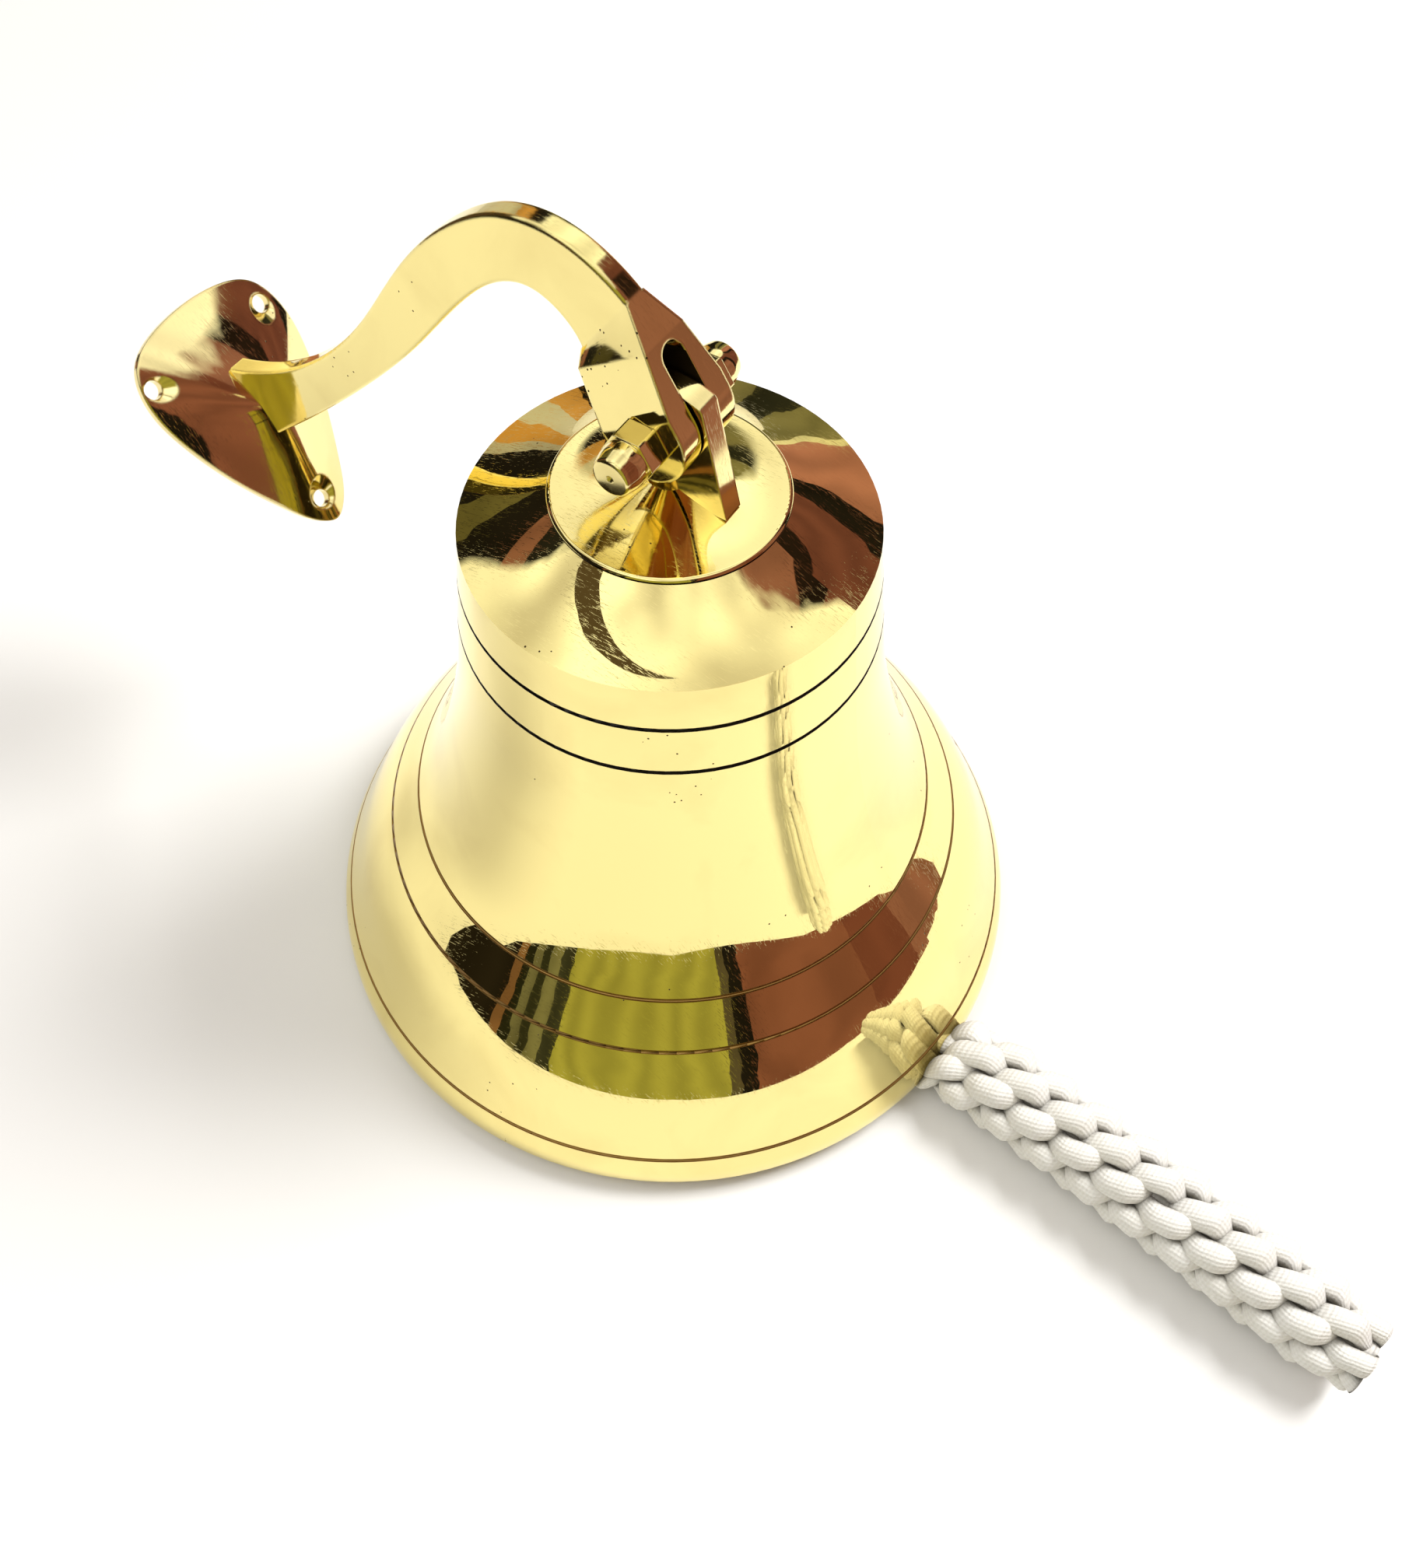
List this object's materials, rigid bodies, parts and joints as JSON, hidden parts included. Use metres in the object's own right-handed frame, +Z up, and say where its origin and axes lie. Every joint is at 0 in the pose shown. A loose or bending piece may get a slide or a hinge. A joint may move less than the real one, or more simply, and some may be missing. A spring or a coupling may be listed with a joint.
{
  "type": "ship bell",
  "caption": "Polished brass ship bell with engraved lines, a gooseneck wall bracket hinged on its crown, a hanging clapper and a braided cotton lanyard.",
  "frame": {"origin": "on the surface the bell stands on, under the middle of its mouth", "axes": "+Z up; the bracket's arm reaches towards -X from the crown, the pivot bolt lies along Y, and the lanyard leaves the lip towards +X"},
  "size_m": [0.392, 0.2032, 0.2238],
  "materials": {
    "polished_brass": "polished",
    "bright_brass": "polished",
    "cast_brass": "satin",
    "white_cotton": "braided"
  },
  "bodies": {
    "bell": {"bell_shell": "polished_brass", "crown_cap": "polished_brass", "crown_lug": "bright_brass", "crown_washer": "cast_brass", "crown_nut": "cast_brass", "clapper_staple": "cast_brass", "clapper_pin": "cast_brass", "lanyard_neck_left": "white_cotton", "lanyard_neck_right": "white_cotton", "lanyard_braid": "white_cotton"},
    "bracket": {"wall_plate": "bright_brass", "bracket_arm": "bright_brass", "pivot_bolt": "cast_brass", "near_cap_nut": "bright_brass", "far_cap_nut": "bright_brass"},
    "clapper": {"clapper_rod": "cast_brass", "clapper_ball": "cast_brass", "lanyard_loop": "white_cotton"}
  },
  "joints": [
    {"name": "bracket_pivot", "type": "hinge", "parent": "bell", "child": "bracket", "pos_m": [-0.00541, 0, 0.1893], "axis": [0, 1, 0], "range_deg": [-10, 80]},
    {"name": "clapper_swing", "type": "hinge", "parent": "bell", "child": "clapper", "pos_m": [-0.00381, 0, 0.13382], "axis": [0.9996, 0, 0.0288], "range_deg": [-29, 29]}
  ]
}
